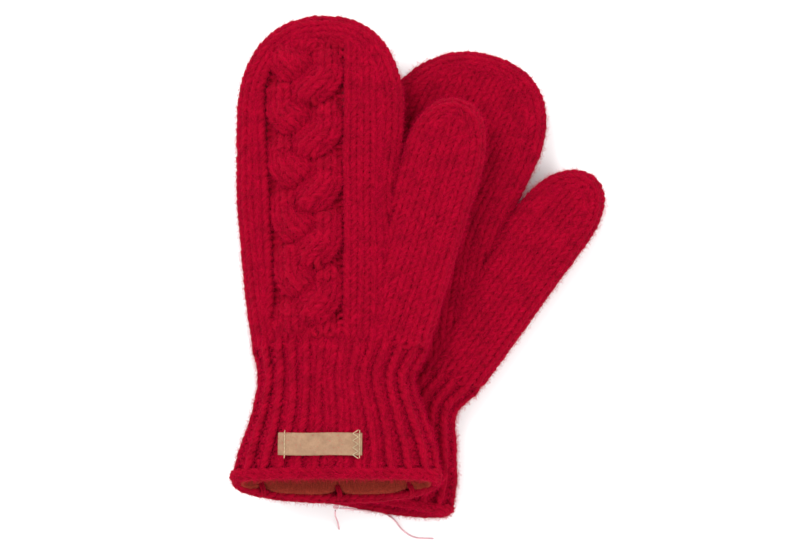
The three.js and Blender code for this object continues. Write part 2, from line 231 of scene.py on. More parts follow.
class Bag:
    """A closed, flattened bag of knitting: u across it, v along it and z up."""

    def __init__(self, section, start, tip_start, end):
        self.section, self.start, self.tip_start, self.end = section, start, tip_start, end

    def taper(self, v, inset):
        u = np.clip((v - self.tip_start) / (self.end - inset - self.tip_start), 0, 1)
        return (1 - u**TIP_ROUND) ** (1 / TIP_ROUND)

    def rise(self, u, v, inset):
        """Half thickness over the bag's middle plane at a point; 0 outside the outline."""
        centre, half, thick = self.section(v)
        taper = self.taper(v, inset)
        out = np.clip(np.abs(u - centre) / np.maximum((half - inset) * taper, 1e-6), 0, 1)
        return (thick / 2 - inset) * taper**0.8 * (1 - out**SECTION_ROUND) ** (1 / SECTION_ROUND)

    def middle(self, v):
        return self.section(v)[2] / 2

    def outline(self, inset):
        """The outline from the start, round the tip and back, at even spacing."""
        v = np.linspace(self.start, self.tip_start, 200)
        turn = np.linspace(0, math.pi / 2, 400)
        reach = self.end - inset - self.tip_start
        tip_v = self.tip_start + reach * np.sin(turn) ** (2 / TIP_ROUND)
        tip_share = np.cos(turn) ** (2 / TIP_ROUND)
        side_v = np.concatenate([v, tip_v[1:]])
        share = np.concatenate([np.ones_like(v), tip_share[1:]])
        centre, half, _ = self.section(side_v)
        reach_u = (half - inset) * share
        left = np.stack([centre - reach_u, side_v], -1)
        right = np.stack([centre + reach_u, side_v], -1)[::-1][1:]
        return even(np.concatenate([left, right]), 1.0)


def length_along(path):
    """How far each point is along a path."""
    return np.concatenate([[0], np.cumsum(np.linalg.norm(np.diff(path, axis=0), axis=1))])


def even(path, step):
    """The same path with points at even spacing."""
    length = length_along(path)
    at = np.linspace(0, length[-1], max(int(round(length[-1] / step)), 2) + 1)
    return np.stack([np.interp(at, length, path[:, k]) for k in range(path.shape[1])], -1)


def unit(v):
    return v / np.maximum(np.linalg.norm(v, axis=-1, keepdims=True), 1e-9)


def thumb_section(v):
    """The thumb's centre, half width and thickness, the same all along it."""
    v = np.asarray(v, float)
    return np.zeros_like(v), np.full_like(v, THUMB_HALF_WIDTH), np.full_like(v, THUMB_THICKNESS)


HAND = Bag(station, CUFF_END - 4, TIP_START, LENGTH)
THUMB = Bag(thumb_section, THUMB_ROOT, THUMB_TIP_START, THUMB_LENGTH)


def thumb_to_mitten(p):
    u, v, z = p[..., 0], p[..., 1], p[..., 2]
    x = THUMB_X + math.sin(THUMB_LEAN) * v + math.cos(THUMB_LEAN) * u
    y = THUMB_Y + math.cos(THUMB_LEAN) * v - math.sin(THUMB_LEAN) * u
    return np.stack([x, y, z], -1)


def mitten_to_thumb(p):
    dx, dy = p[..., 0] - THUMB_X, p[..., 1] - THUMB_Y
    v = dx * math.sin(THUMB_LEAN) + dy * math.cos(THUMB_LEAN)
    u = dx * math.cos(THUMB_LEAN) - dy * math.sin(THUMB_LEAN)
    return np.stack([u, v, p[..., 2]], -1)


# ---- Wales: columns of stitches along a path on the fabric's middle surface ----
class Stitches:
    """Where each stitch sits: its middle, the way it was knitted, the way out, its sizes and its hair."""

    FIELDS = ("at", "along", "out", "width", "row", "hair")

    def __init__(self, at, along, out, width, row, hair=1.0):
        self.at, self.along, self.out = at, along, out
        self.width, self.row, self.hair = (np.full(len(at), v, float) for v in (width, row, hair))

    def keep(self, mask):
        return Stitches(*(getattr(self, field)[mask] for field in self.FIELDS))


def join(many):
    return Stitches(*(np.concatenate([getattr(s, field) for s in many]) for field in Stitches.FIELDS))


def wale(path, out, width, row):
    """Stitches at even steps along a path that has an outward direction at each point."""
    length = length_along(path)
    count = max(int(round(length[-1] / row)), 1)
    at = (np.arange(count) + 0.5) * length[-1] / count

    def spread(values):
        return np.stack([np.interp(at, length, values[:, k]) for k in range(3)], -1)

    along = unit(spread(np.gradient(path, axis=0)))
    normal = unit(spread(out))
    normal = unit(normal - along * np.sum(normal * along, -1, keepdims=True))
    return Stitches(spread(path), along, normal, width, length[-1] / count)


def surface_out(bag, u, v, inset, face):
    """The way out of a bag's face, from the slope over a short step."""
    step = 0.3
    du = (bag.rise(u + step, v, inset) - bag.rise(u - step, v, inset)) / (2 * step)
    dv = (bag.rise(u, v + step, inset) - bag.rise(u, v - step, inset)) / (2 * step)
    return unit(np.stack([-du, -dv, np.ones_like(du)], -1)) * np.array([1, 1, face])


def edge_band(bag, face):
    """Paths along the outline, up one side, round the tip and down, and the line where the straight
    wales end."""
    edge = bag.outline(FABRIC)
    inward = np.gradient(edge, axis=0)
    inward = unit(np.stack([inward[:, 1], -inward[:, 0]], -1))
    reach = np.concatenate([np.linspace(0, 1.2, 40) ** 2, np.linspace(1.5, 30, 90)])
    u = edge[:, :1] + inward[:, :1] * reach
    v = edge[:, 1:] + inward[:, 1:] * reach
    rise = bag.rise(u, v, FABRIC)
    climb = np.hypot(np.diff(reach), np.diff(rise, axis=1))
    arc = np.concatenate([np.zeros((len(edge), 1)), np.cumsum(climb, axis=1)], 1)
    reaches = np.broadcast_to(reach, rise.shape)

    def at_arc(distance, values):
        return np.array([np.interp(distance, a, row) for a, row in zip(arc, values)])

    paths = []
    for k in range(EDGE_WALES):
        want = (k + 0.5) * WALE
        in_by, up = at_arc(want, reaches), at_arc(want, rise)
        nearby = at_arc(want + 0.6, reaches) - in_by
        steeper = at_arc(want + 0.6, rise) - up
        pu, pv = edge[:, 0] + inward[:, 0] * in_by, edge[:, 1] + inward[:, 1] * in_by
        path = np.stack([pu, pv, bag.middle(pv) + face * up], -1)
        out = np.stack([-inward[:, 0] * steeper, -inward[:, 1] * steeper, face * nearby], -1)
        paths.append((path, unit(out)))
    tuck = at_arc((EDGE_WALES - 0.35) * WALE, reaches)[:, None]
    return paths, edge + inward * tuck


def inside_loop(u, v, loop):
    """Whether points lie inside a closed outline."""
    inside = np.zeros(u.shape, bool)
    a, b = loop, np.roll(loop, -1, axis=0)
    for (x0, y0), (x1, y1) in zip(a, b):
        crosses = (y0 > v) != (y1 > v)
        if abs(y1 - y0) > 1e-9:
            inside ^= crosses & (u < (x1 - x0) * (v - y0) / (y1 - y0) + x0)
    return inside


def knit_face(bag, face, count, columns=None):
    """One face of a bag: straight wales in the middle that end at the band along the outline."""
    band, inner = edge_band(bag, face)
    made = []
    for path, out in band:
        middle = len(path) // 2
        made.append(wale(path[: middle + 1], out[: middle + 1], WALE, ROW))
        made.append(wale(path[middle:][::-1], out[middle:][::-1], WALE, ROW))
    v = np.arange(bag.start, bag.end - FABRIC, 1.0)
    widest = np.interp(bag.tip_start, v, bag.section(v)[1])
    centre, half, _ = bag.section(np.minimum(v, bag.tip_start))
    places = [centre + (k - (count - 1) / 2) * WALE * half / widest for k in range(count)]
    for k, u in enumerate(columns or places):
        u = u + HAND_SWAY * np.sin(v / 13 + 1.3 * k)
        column = column_on(bag, u, v, FABRIC, face, WALE)
        made.append(column.keep(inside_loop(column.at[:, 0], column.at[:, 1], inner)))
    return join(made), inner


def column_on(bag, u, v, inset, face, width):
    """A straight wale on one face of a bag."""
    path = np.stack([u, v, bag.middle(v) + face * bag.rise(u, v, inset)], -1)
    return wale(path, surface_out(bag, u, v, inset, face), width, ROW)


def loops(stitches, purl):
    """The yarn's centreline through each stitch, a knit loop or its back for a purl, and which of its
    steps are on the outside."""
    turn = np.linspace(-math.pi, math.pi, 13)
    across = np.cross(stitches.along, stitches.out)
    b = (turn / (2 * math.pi) + SPREAD * np.sin(2 * turn))[None] * stitches.width[:, None]
    a = np.cos(turn)[None] * stitches.row[:, None] * SWELL
    n = np.broadcast_to(-np.cos(2 * turn) * DEPTH * (-1 if purl else 1), b.shape)
    curves = (
        stitches.at[:, None]
        + across[:, None] * b[..., None]
        + stitches.along[:, None] * a[..., None]
        + stitches.out[:, None] * n[..., None]
    )
    return curves, n[0] > -0.35 * DEPTH


class Yarn:
    """Many short lengths of yarn with one number of steps, as tubes in one mesh."""

    def __init__(self):
        self.curves, self.up, self.radius, self.hair = [], [], [], []

    def add(self, curves, up, radius, hair=None):
        self.curves.append(curves)
        self.up.append(up)
        self.radius.append(np.full(len(curves), radius, float))
        self.hair.append(np.ones(curves.shape[:2]) if hair is None else hair)

    def mesh(self, name, lay, sides=6):
        curves = lay(np.concatenate(self.curves))
        up = np.concatenate(self.up)
        radius = np.concatenate(self.radius)
        count, steps = curves.shape[:2]
        tangent = unit(np.gradient(curves, axis=1))
        side = unit(np.cross(tangent, up[:, None]))
        top = np.cross(side, tangent)
        turn = np.arange(sides) * 2 * math.pi / sides
        ring = np.cos(turn)[:, None] * side[:, :, None] + np.sin(turn)[:, None] * top[:, :, None]
        verts = curves[:, :, None] + ring * radius[:, None, None, None]
        index = np.arange(count * steps * sides).reshape(count, steps, sides)
        nxt = np.roll(index, -1, axis=2)
        quads = np.stack([index[:, :-1], index[:, 1:], nxt[:, 1:], nxt[:, :-1]], -1).reshape(-1, 4)
        obj = mesh_object(name, verts.reshape(-1, 3), quads)
        s = np.broadcast_to(np.arange(steps - 1)[None, :, None], (count, steps - 1, sides))
        r = np.broadcast_to(np.arange(sides)[None, None], s.shape)
        corner_u = np.stack([s, s + 1, s + 1, s], -1) / (steps - 1)
        corner_v = np.stack([r, r, r + 1, r + 1], -1) / sides
        cell = np.broadcast_to(np.arange(count)[:, None, None, None], corner_u.shape)
        add_uv(obj, "yarn", corner_u + cell % 97, corner_v)
        grid = int(math.ceil(math.sqrt(count)))
        add_uv(obj, "OFBake", (cell % grid + 0.04 + 0.92 * corner_u) / grid,
               (cell // grid + 0.04 + 0.92 * corner_v) / grid)
        hairy = (np.sin(turn) > -0.2)[None, None] * np.concatenate(self.hair)[:, :, None]
        layer = obj.data.attributes.new("hairy", "FLOAT", "POINT")
        layer.data.foreach_set("value", hairy.astype(np.float32).ravel())
        return obj


def mesh_object(name, verts, quads):
    """A mesh from points in millimetres and four-cornered faces."""
    mesh = bpy.data.meshes.new(name)
    mesh.vertices.add(len(verts))
    mesh.vertices.foreach_set("co", (np.asarray(verts) / 1000).astype(np.float32).ravel())
    mesh.loops.add(quads.size)
    mesh.loops.foreach_set("vertex_index", quads.astype(np.int32).ravel())
    mesh.polygons.add(len(quads))
    mesh.polygons.foreach_set("loop_start", np.arange(0, quads.size, 4, dtype=np.int32))
    mesh.polygons.foreach_set("use_smooth", np.ones(len(quads), bool))
    mesh.update(calc_edges=True)
    mesh.validate()
    obj = bpy.data.objects.new(name, mesh)
    bpy.context.scene.collection.objects.link(obj)
    return obj


def add_uv(obj, name, u, v):
    layer = obj.data.uv_layers.new(name=name)
    layer.data.foreach_set("uv", np.stack([u, v], -1).astype(np.float32).ravel())


def grid_object(name, points):
    """A surface through rows of points that each go right round."""
    rows, columns = points.shape[:2]
    this = np.arange(rows * columns).reshape(rows, columns)
    nxt = np.roll(this, -1, axis=1)
    quads = np.stack([this[:-1], nxt[:-1], nxt[1:], this[1:]], -1).reshape(-1, 4)
    return mesh_object(name, points.reshape(-1, 3), quads)


# ---- Cuff: a tube with ribs round it ----
def ring_points(y, share, inset):
    """Points of the cuff at y, at shares of the way round it."""
    angle = np.linspace(0, 2 * math.pi, 721)
    centre, half, thick = station(y)
    x = centre + (half - inset) * signed_power(np.cos(angle), 2 / SECTION_ROUND)
    z = thick / 2 + (thick / 2 - inset) * signed_power(np.sin(angle), 2 / SECTION_ROUND)
    length = length_along(np.stack([x, z], -1))
    at = np.asarray(share) % 1 * length[-1]
    px, pz = np.interp(at, length, x), np.interp(at, length, z)
    return np.stack([px, y + rim_setback(y, pz / thick), pz], -1)


def ring_each(y, share, inset):
    """Points of the cuff, each with its own y, share of the way round and inset."""
    return np.stack([ring_points(*place) for place in zip(y, share, inset)])


def rim_setback(y, height):
    """How far the slanted rim moves a point towards the fingertips; height runs from 0 to 1."""
    return RIM_SLANT * (1 - (1 - height) ** 3) * (1 - smooth(0, CUFF_END, y))


def cuff_grid(y_from, inset, shares, reach):
    """Rows of points round the cuff; on its upper layer they start further out by reach."""
    first = y_from - reach * ring_points(0.0, shares, inset)[:, 2] / station(0)[2]
    rows = np.linspace(0, 1, int((RIBS_END - y_from + reach) / 2) + 1)
    insets = np.full_like(first, inset)
    return np.stack([ring_each(first + (RIBS_END - first) * t, shares, insets) for t in rows])


# ---- Yarn pieces ----
def of_thumb(stitches):
    """Stitches of the thumb's own frame, in the mitten's frame."""
    zero = thumb_to_mitten(np.zeros_like(stitches.at))
    at = thumb_to_mitten(stitches.at)
    along = thumb_to_mitten(stitches.along) - zero
    out = thumb_to_mitten(stitches.out) - zero
    return Stitches(at, along, out, stitches.width, stitches.row, stitches.hair)


def in_thumb(at, inset):
    p = mitten_to_thumb(at)
    rise = THUMB.rise(p[:, 0], p[:, 1], inset)
    return (np.abs(p[:, 2] - THUMB_THICKNESS / 2) < rise) & (p[:, 1] > THUMB_ROOT)


def in_hand(at, inset):
    rise = HAND.rise(at[:, 0], at[:, 1], inset)
    return np.abs(at[:, 2] - HAND.middle(at[:, 1])) < rise


def rough(stitches):
    """Small differences from stitch to stitch, as hand knitting has."""
    count = len(stitches.at)
    stitches.at = stitches.at + stitches.out * rng.normal(0, 0.12, (count, 1))
    stitches.along = unit(stitches.along + rng.normal(0, 0.035, (count, 3)))
    stitches.width = stitches.width * rng.normal(1, 0.03, count)
    return stitches


def knit_yarn(stitches, purl=False, radius=YARN):
    yarn = Yarn()
    thickness = radius * rng.normal(1, 0.05, len(stitches.at))
    curves, seen = loops(rough(stitches), purl)
    yarn.add(curves, stitches.out, thickness, seen[None] * stitches.hair[:, None])
    return yarn


def cable_breadth(y):
    """From 0 where the cable is narrow to 1 where it is broad."""
    return smooth(CABLE_NARROW, CABLE_BROAD, y)


def cable_middle(y):
    return CABLE_X + CABLE_DRIFT * (1 - cable_breadth(y))


def beside_cable():
    """Places of the straight columns on both sides of the cable."""
    v = np.arange(HAND.start, HAND.end - FABRIC, 1.0)
    bed = PLAIT_BED - (LANE_WIDE - LANE_NARROW) * (1 - cable_breadth(v))
    left = [cable_middle(v) - bed - (k + 0.5) * WALE for k in range(2)]
    right = [cable_middle(v) + bed + (k + 0.5) * WALE for k in range(6)]
    return left + right


def strand_at(y, strand):
    """Where a strand is across the cable, from -1 to 1, and how far it is lifted."""
    turn = ((PLAIT_CROSSING - y) / PLAIT_REPEAT + strand) % 3
    middle = np.full_like(y, -1.0)
    lift = np.zeros_like(y)
    for at, step, over in STRAND_STEPS:
        middle += step * smooth(at - STEP_REACH, at + STEP_REACH, turn)
        if over > 0:
            lift += OVER * np.clip(1 - ((turn - at) / (STEP_REACH * 1.5)) ** 2, 0, 1)
        else:
            lift -= UNDER * smooth(*DIVE[:2], turn - at) * (1 - smooth(*DIVE[2:], turn - at))
    return middle, lift


def plait(face, inner):
    """Three strands of three wales each, the middle one highest. Stitches that have dived have no hair."""
    made = []
    y = np.arange(CABLE_START, CABLE_END, 1.0)
    fade = smooth(CABLE_START - 4, CABLE_START + 10, y) * (1 - smooth(CABLE_END - 14, CABLE_END, y))
    lane = LANE_NARROW + (LANE_WIDE - LANE_NARROW) * cable_breadth(y)
    for strand in range(3):
        middle, lift = strand_at(y, strand)
        x = cable_middle(y) + middle * lane
        plan = unit(np.stack([np.gradient(x), np.gradient(y)], -1))
        aside = np.stack([plan[:, 1], -plan[:, 0], 0 * x], -1)
        for column in (-1, 0, 1):
            across = x + aside[:, 0] * column * PLAIT_PITCH
            along = y + aside[:, 1] * column * PLAIT_PITCH
            up = (lift + (2.5 if column == 0 else -0.6)) * fade
            z = HAND.middle(along) + face * (HAND.rise(across, along, FABRIC) + up)
            out = surface_out(HAND, across, along, FABRIC, face)
            out = unit(out + 0.6 * column * aside * fade[:, None])
            strip = wale(np.stack([across, along, z], -1), out, PLAIT_WALE * 1.05, ROW)
            strip.hair = smooth(-1.6, 0.4, np.interp(strip.at[:, 1], along, lift * fade))
            made.append(strip.keep(inside_loop(strip.at[:, 0], strip.at[:, 1], inner)))
    return join(made)


def under_plait(p):
    """How much deeper the ground lies at a point because of the plait over it."""
    y = p[..., 1]
    out = np.abs(p[..., 0] - cable_middle(y)) / PLAIT_BED
    along = smooth(CABLE_START, CABLE_START + 14, y) * (1 - smooth(CABLE_END - 18, CABLE_END - 4, y))
    return PLAIT_HOLLOW * (1 - smooth(0.84, 1.0, out)) * along


def plait_bed(face, inner):
    """The purl ground under the plait, seen at its edges."""
    v = np.arange(CUFF_END - 2, CABLE_END, 1.0)
    made = []
    width = 2 * PLAIT_BED / 6
    for k in range(6):
        u = cable_middle(v) + (k - 2.5) * width
        column = column_on(HAND, u, v, FABRIC + 0.9, face, width)
        column.at[:, 2] -= face * under_plait(column.at)
        column.hair[:] = 0.0
        made.append(column.keep(inside_loop(column.at[:, 0], column.at[:, 1], inner)))
    return join(made)


def bag_grid(bag, inset, start, columns=72):
    """Points round the bag, row by row from the start to the tip."""
    v = np.arange(start, bag.tip_start, 3.0)
    turn = np.linspace(0, math.pi / 2 - 0.02, 26)
    tip = bag.tip_start + (bag.end - inset - bag.tip_start) * np.sin(turn) ** (2 / TIP_ROUND)
    v = np.concatenate([v, tip])[:, None]
    angle = np.linspace(0, 2 * math.pi, columns, endpoint=False)[None]
    centre, half, thick = bag.section(v)
    taper = bag.taper(v, inset)
    u = centre + (half - inset) * taper * signed_power(np.cos(angle), 2 / SECTION_ROUND)
    z = thick / 2 + (thick / 2 - inset) * taper**0.8 * signed_power(np.sin(angle), 2 / SECTION_ROUND)
    return np.stack([u, v + 0 * u, z], -1)


def rim_chain(low, high, inset, lean):
    """A chain of stitches round the cuff's edge, at y low on its lower layer and high on the upper one.
    lean turns it from facing out to facing the rim."""
    shares = np.linspace(0, 1, 240, endpoint=False)
    height = ring_points(0.0, shares, inset)[:, 2] / station(0)[2]
    y = low + (high - low) * height
    here = ring_each(y, shares, np.full_like(y, inset))
    deeper = ring_each(y, shares, np.full_like(y, inset + 1))
    out = unit(unit(here - deeper) * math.cos(lean) + np.array([0, -math.sin(lean), 0]))
    ring = np.append(np.arange(len(here)), 0)
    return wale(here[ring], out[ring], 5.6, 5.0)


def knit_cuff(reach):
    """The ribs' raised knit columns and the sunk purl columns between them."""
    columns = RIBS * 2
    shares = np.arange(columns) / columns
    grid = cuff_grid(RIBS_START, FABRIC, shares, reach)
    out = unit(grid - cuff_grid(RIBS_START, FABRIC + 1, shares, reach))
    sway = RIB_SWAY * np.sin(grid[..., 1] / 9 + 0.9 * np.arange(columns))
    grid = grid + np.cross(out, [0.0, 1.0, 0.0]) * sway[..., None]
    tuck = 2.2 * smooth(CUFF_END - 6, RIBS_END, np.linspace(RIBS_START, RIBS_END, len(grid)))[:, None]
    raised, sunk = [], []
    for k in range(columns):
        pitch = np.linalg.norm(grid[:, (k + 1) % columns] - grid[:, k - 1], axis=1).mean()
        if k % 2 == 0:
            raised.append(wale(grid[:, k] + out[:, k] * (0.7 - tuck), out[:, k], RIB_WALE, ROW))
        else:
            path = grid[:, k] - out[:, k] * (0.3 + 0.6 * tuck)
            sunk.append(wale(path, out[:, k], max(pitch - RIB_WALE + 2.6, 3.8), ROW))
    return join(raised), join(sunk)


def build_knit(side):
    """All the yarn of one mitten, piece by piece."""
    made = {}

    def knit(piece, stitches, purl=False, radius=YARN):
        name = f"{side}_{piece}"
        made[name] = knit_yarn(stitches, purl, radius).mesh(name, LAY[side])

    for face, place in ((1, "upper"), (-1, "under")):
        cabled = (face > 0) == (side == "left")
        columns = beside_cable() if cabled else None
        hand, inner = knit_face(HAND, face, HAND_WALES, columns)
        knit(f"hand_knit_{place}", hand.keep(~in_thumb(hand.at, FABRIC + 0.4)))
        if cabled:
            knit("plait_knit", plait(face, inner))
            knit("plait_bed", plait_bed(face, inner), True, 1.7)
        thumb = of_thumb(knit_face(THUMB, face, THUMB_WALES)[0])
        outside = ~in_hand(thumb.at, FABRIC + 0.4)
        knit(f"thumb_knit_{place}", thumb.keep(outside & (thumb.at[:, 1] > CUFF_END - 2)))
    reach = RIM_REACH[side]
    raised, sunk = knit_cuff(reach)
    knit("cuff_ribs", raised)
    knit("cuff_purls", sunk, True, PURL_YARN)
    chains = [rim_chain(low, high - reach, inset, lean) for low, high, inset, lean in RIM_CHAINS]
    knit("cuff_bind_off", join(chains), radius=PURL_YARN)
    return made


def build_backing(side):
    """The closed fabric behind the yarn's gaps; its material is darker than the yarn, as painted shade in
    the gaps.
    """
    lay = LAY[side]
    cabled = 1 if side == "left" else -1
    ground = bag_grid(HAND, BACKING, CUFF_END - 4, columns=144)
    on_face = (ground[..., 2] - HAND.middle(ground[..., 1])) * cabled > 0
    ground[..., 2] -= cabled * np.where(on_face, under_plait(ground), 0)
    hand = grid_object(f"{side}_hand_backing", lay(ground))
    in_thumb_frame = bag_grid(THUMB, BACKING, THUMB_BACKING_START)
    thumb = grid_object(f"{side}_thumb_backing", lay(thumb_to_mitten(in_thumb_frame)))
    shares = np.linspace(0, 1, 160, endpoint=False)
    tube = cuff_grid(RIBS_START / 2, BACKING + 0.5, shares, RIM_REACH[side])
    cuff = grid_object(f"{side}_cuff_backing", lay(tube))
    return hand, thumb, cuff


def build_lining(side):
    """The fleece lining, its edge puffed between the tacks and pulled down at each of them."""
    lay = LAY[side]
    start = LINING_START[side]
    shares = np.linspace(0, 1, 8 * LINING_CORDS, endpoint=False)
    ripple = 0.2 * np.sin(shares * LINING_CORDS * 2 * math.pi)
    rim = ring_points(start, shares, LINING_INSET)
    near = np.min([np.abs(rim[:, 0] - x) for x in TACKS], axis=0)
    pulled = np.exp(-((near / 3.2) ** 2))
    puff = np.clip(near / 10, 0, 1) ** 0.6
    rows = []
    behind = LINING_BEHIND * (rim[:, 2] / station(0)[2]) ** 2
    for depth, inset in LINING_PROFILE:
        y = start + behind + depth + 2.0 * pulled - 2.2 * puff * math.exp(-depth / 6)
        inward = inset - 0.9 * pulled * math.exp(-depth / 8) + 0.8 * puff * math.exp(-depth / 7)
        rows.append(ring_each(y, shares, LINING_INSET + inward + ripple))
    lining = grid_object(f"{side}_cuff_fleece", lay(np.stack(rows)))
    hairy = lining.data.attributes.new("hairy", "FLOAT", "POINT")
    hairy.data.foreach_set("value", np.ones(len(lining.data.vertices), np.float32))
    hand = grid_object(f"{side}_hand_fleece", lay(bag_grid(HAND, FLEECE_INSET, CUFF_END - 14)))
    in_thumb_frame = bag_grid(THUMB, FLEECE_INSET, THUMB_FLEECE_START)
    thumb = grid_object(f"{side}_thumb_fleece", lay(thumb_to_mitten(in_thumb_frame)))
    return lining, hand, thumb


# ---- Label ----
def label_height(face, x, y):
    """Height of the cuff's face over a point."""
    along = y - rim_setback(y, 1) if face > 0 else y
    return HAND.middle(along) + face * HAND.rise(x, along, 0)


def label_points(face, x, y, height):
    """Points at a height over the knitting, rippled by the ribs under them."""
    ripple = 0.12 * np.cos(x * 2 * math.pi / 8.2)
    z = label_height(face, x, y) + face * (LABEL_GAP + height + ripple)
    return np.stack([x, y, z], -1)


def build_label(side):
    """The leather strip: a flat section with round edges, swept along it and drawn in at its ends."""
    face = 1 if side == "left" else -1
    turn = np.linspace(0, 2 * math.pi, 48, endpoint=False)
    across = signed_power(np.cos(turn), 0.16) * LABEL_HEIGHT / 2
    up = signed_power(np.sin(turn), 0.7) * LABEL_THICK / 2
    ends = (0.0, 0.6, 0.9, 1.0)
    along = np.linspace(-1, 1, 90) * LABEL_WIDTH / 2
    rows = []
    for i, x in enumerate(along):
        from_end = min(i, len(along) - 1 - i)
        full = ends[min(from_end, len(ends) - 1)]
        wave = 0.12 * math.sin(x * 0.2) + 0.03 * math.sin(x * 1.7 + 1)
        y = LABEL_Y + LABEL_HEIGHT / 2 + across * (0.97 + 0.03 * full) + wave
        rows.append(label_points(face, np.full_like(y, LABEL_X + x), y, LABEL_THICK / 2 + up * full))
    return grid_object(f"{side}_leather_label", LAY[side](np.stack(rows)))


def outer_seam():
    """Running stitches, as pairs of end points."""
    x = LABEL_X - LABEL_WIDTH / 2 + SEAM_INSET
    edges = np.linspace(SEAM_LOW, SEAM_HIGH, 8)
    return [([x, low + 0.25], [x + 0.15, high - 0.25]) for low, high in zip(edges[:-1], edges[1:])]


def inner_seam():
    """Zigzag stitches with a straight row beside them."""
    x = LABEL_X + LABEL_WIDTH / 2 - SEAM_INSET
    edges = np.linspace(SEAM_LOW, SEAM_HIGH, 9)
    stitches = []
    for k, (low, high) in enumerate(zip(edges[:-1], edges[1:])):
        lean = 1.5 if k % 2 else -1.5
        stitches.append(([x - lean, low], [x + lean, high]))
        stitches.append(([x + 2.2, low + 0.2], [x + 2.2, high - 0.2]))
    return stitches


def build_seam(name, side, stitches):
    """Label stitches, each an arch of thread that dips into the leather at both ends."""
    face = 1 if side == "left" else -1
    share = np.linspace(0, 1, 9)[:, None]
    arch = np.sin(share[:, 0] * math.pi) ** 0.6 * 0.45 - 0.05
    curves = []
    for start, stop in stitches:
        line = np.array(start) * (1 - share) + np.array(stop) * share
        curves.append(label_points(face, line[:, 0], line[:, 1], LABEL_THICK + arch))
    yarn = Yarn()
    yarn.add(np.array(curves), np.tile([0.0, 0.0, face], (len(curves), 1)), SEAM_THREAD)
    return yarn.mesh(name, LAY[side])


def build_tacks(side):
    """The wool stitches that hold the lining's edge, over its fold and back into the rim."""
    share = np.linspace(0, 1, 15)
    made = []
    for k, x in enumerate(TACKS):
        floor = station(0)[2] / 2 - HAND.rise(x, 0.0, LINING_INSET)
        z = floor + 0.2 + 2.2 * np.sin(share * math.pi) ** 0.7
        y = LINING_START[side] - 4.5 + 8 * share + rim_setback(0, (floor + 1) / station(0)[2])
        curve = np.stack([x + 0.7 * np.sin(share * 5), y, z], -1)
        second = curve + np.array([1.3, 0.4, -0.2])
        yarn = Yarn()
        yarn.add(np.stack([curve, second]), np.tile([1.0, 0.0, 0.0], (2, 1)), 0.85)
        made.append(yarn.mesh(f"{side}_tack_{k + 1}", LAY[side]))
    return made


# ---- Looks ----
def new_material(name):
    """A material, its node tree and its shader."""
    mat = bpy.data.materials.new(name)
    mat.use_nodes = True
    return mat, mat.node_tree, mat.node_tree.nodes["Principled BSDF"]


def node(tree, kind, **values):
    """A new node with some of its inputs or settings given."""
    made = tree.nodes.new(kind)
    for key, value in values.items():
        if key in made.inputs:
            made.inputs[key].default_value = value
        else:
            setattr(made, key, value)
    return made


def matt(bsdf, roughness, specular, sheen=0.0, tint=(1, 1, 1)):
    """How little a surface shines; sheen is the light that its loose fibres catch."""
    bsdf.inputs["Roughness"].default_value = roughness
    bsdf.inputs["Specular IOR Level"].default_value = specular
    bsdf.inputs["Sheen Weight"].default_value = sheen
    bsdf.inputs["Sheen Tint"].default_value = (*tint, 1)


def texture(tree, kind, **values):
    """A texture laid out in the object's own space."""
    made = node(tree, kind, **values)
    tree.links.new(tree.nodes.new("ShaderNodeTexCoord").outputs["Object"], made.inputs["Vector"])
    return made


def two_tone(tree, fac, dark, light, low=0.35, high=0.65):
    """A colour that goes from dark to light as fac goes from low to high."""
    ramp = tree.nodes.new("ShaderNodeValToRGB")
    for stop, place, color in zip(ramp.color_ramp.elements, (low, high), (dark, light)):
        stop.position = place
        stop.color = (*color, 1)
    tree.links.new(fac, ramp.inputs["Fac"])
    return ramp.outputs["Color"]


def mixed(tree, kind, fac, a, b):
    mix = node(tree, "ShaderNodeMix", data_type="RGBA", blend_type=kind)
    mix.inputs[0].default_value = fac
    tree.links.new(a, mix.inputs[6])
    tree.links.new(b, mix.inputs[7])
    return mix.outputs[2]


def bumped(tree, bsdf, height, strength, distance):
    bump = node(tree, "ShaderNodeBump", Strength=strength, Distance=distance)
    tree.links.new(height, bump.inputs["Height"])
    tree.links.new(bump.outputs["Normal"], bsdf.inputs["Normal"])


